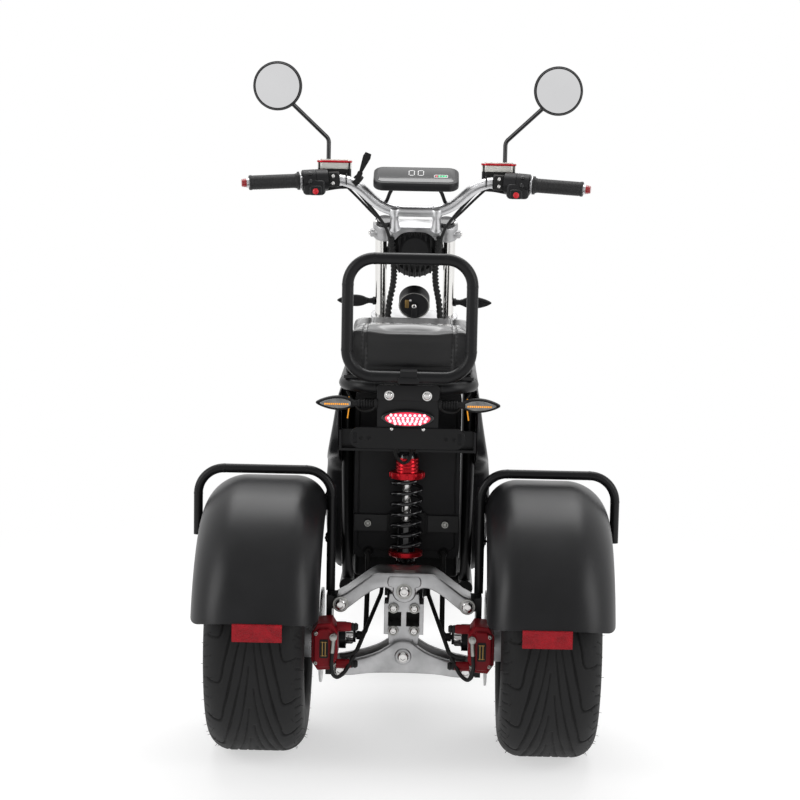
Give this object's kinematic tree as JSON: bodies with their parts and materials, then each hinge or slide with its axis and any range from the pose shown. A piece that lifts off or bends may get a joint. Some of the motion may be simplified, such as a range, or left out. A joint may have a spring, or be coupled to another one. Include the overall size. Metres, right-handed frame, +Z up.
{
  "type": "electric chopper trike",
  "caption": "Electric chopper trike with fat rear wheels on a leaning aluminium linkage, coil-over shock, raked front fork, padded seat, backrest hoop and rear fenders",
  "frame": {"origin": "centre of the bounding box at ground level", "axes": "+Y forward, +X to the rider's right, +Z up"},
  "size_m": [0.8192, 1.7908, 1.3379],
  "materials": {
    "main_frame": "satin",
    "seat_frame": "satin",
    "shock_mount": "satin",
    "footboard": "satin",
    "battery_box": "satin",
    "battery_strap": "satin",
    "side_covers": "satin",
    "cross_guard": "satin",
    "seat_pan": "satin",
    "seat": "plain",
    "backrest_hoop": "satin",
    "tail_bracket": "satin",
    "tail_lamp": "plain",
    "plate_holder": "satin",
    "rear_indicators": "satin",
    "shock_body": "satin",
    "shock_collars": "satin",
    "shock_spring": "satin",
    "swingarm": "satin",
    "centre_upright": "satin",
    "upper_arm": "satin",
    "lower_arm": "satin",
    "pivot_bolts": "plain",
    "knuckles": "satin",
    "rear_calipers": "satin",
    "rear_fenders": "satin",
    "fender_rails": "satin",
    "reflectors": "plain",
    "motor_cables": "plain",
    "brake_hoses": "plain",
    "fork_yokes": "satin",
    "top_crown": "satin",
    "fork_tubes": "plain",
    "fork_sliders": "satin",
    "handlebar": "plain",
    "grips": "plain",
    "switch_pods": "satin",
    "brake_levers": "satin",
    "mirrors": "satin",
    "mirror_glass": "plain",
    "gauge": "plain",
    "headlamp": "satin",
    "horn": "satin",
    "looms": "plain",
    "front_indicators": "satin",
    "front_fender": "satin",
    "front_axle": "plain",
    "front_caliper": "satin",
    "rear_rim_left": "satin",
    "rear_tyre_left": "plain",
    "rear_disc_left": "plain",
    "rear_rim_right": "satin",
    "rear_tyre_right": "plain",
    "rear_disc_right": "plain",
    "front_rim": "satin",
    "front_tyre": "plain",
    "front_disc": "plain"
  },
  "bodies": {
    "chassis": {"main_frame": "main_frame", "seat_frame": "seat_frame", "shock_mount": "shock_mount", "footboard": "footboard", "battery_box": "battery_box", "battery_strap": "battery_strap", "side_covers": "side_covers", "cross_guard": "cross_guard", "seat_pan": "seat_pan", "seat": "seat", "backrest_hoop": "backrest_hoop", "tail_bracket": "tail_bracket", "tail_lamp": "tail_lamp", "plate_holder": "plate_holder", "rear_indicators": "rear_indicators", "shock_body": "shock_body", "shock_collars": "shock_collars", "shock_spring": "shock_spring", "swingarm": "swingarm", "centre_upright": "centre_upright", "upper_arm": "upper_arm", "lower_arm": "lower_arm", "pivot_bolts": "pivot_bolts", "knuckles": "knuckles", "rear_calipers": "rear_calipers", "rear_fenders": "rear_fenders", "fender_rails": "fender_rails", "reflectors": "reflectors", "motor_cables": "motor_cables", "brake_hoses": "brake_hoses"},
    "steering": {"fork_yokes": "fork_yokes", "top_crown": "top_crown", "fork_tubes": "fork_tubes", "fork_sliders": "fork_sliders", "handlebar": "handlebar", "grips": "grips", "switch_pods": "switch_pods", "brake_levers": "brake_levers", "mirrors": "mirrors", "mirror_glass": "mirror_glass", "gauge": "gauge", "headlamp": "headlamp", "horn": "horn", "looms": "looms", "front_indicators": "front_indicators", "front_fender": "front_fender", "front_axle": "front_axle", "front_caliper": "front_caliper"},
    "front_wheel": {"front_rim": "front_rim", "front_tyre": "front_tyre", "front_disc": "front_disc"},
    "rear_wheel_left": {"rear_rim_left": "rear_rim_left", "rear_tyre_left": "rear_tyre_left", "rear_disc_left": "rear_disc_left"},
    "rear_wheel_right": {"rear_rim_right": "rear_rim_right", "rear_tyre_right": "rear_tyre_right", "rear_disc_right": "rear_disc_right"}
  },
  "joints": [
    {"name": "steering_turn", "type": "hinge", "parent": "chassis", "child": "steering", "pos_m": [0, 0.40786, 0.63675], "axis": [0, -0.454, 0.891], "range_deg": [-35, 35]},
    {"name": "front_wheel_spin", "type": "hinge", "parent": "steering", "child": "front_wheel", "pos_m": [0, 0.66587, 0.2295], "axis": [1, 0, 0], "continuous": true},
    {"name": "rear_wheel_left_spin", "type": "hinge", "parent": "chassis", "child": "rear_wheel_left", "pos_m": [-0.2775, -0.59413, 0.225], "axis": [1, 0, 0], "continuous": true},
    {"name": "rear_wheel_right_spin", "type": "hinge", "parent": "chassis", "child": "rear_wheel_right", "pos_m": [0.2775, -0.59413, 0.225], "axis": [1, 0, 0], "continuous": true}
  ]
}
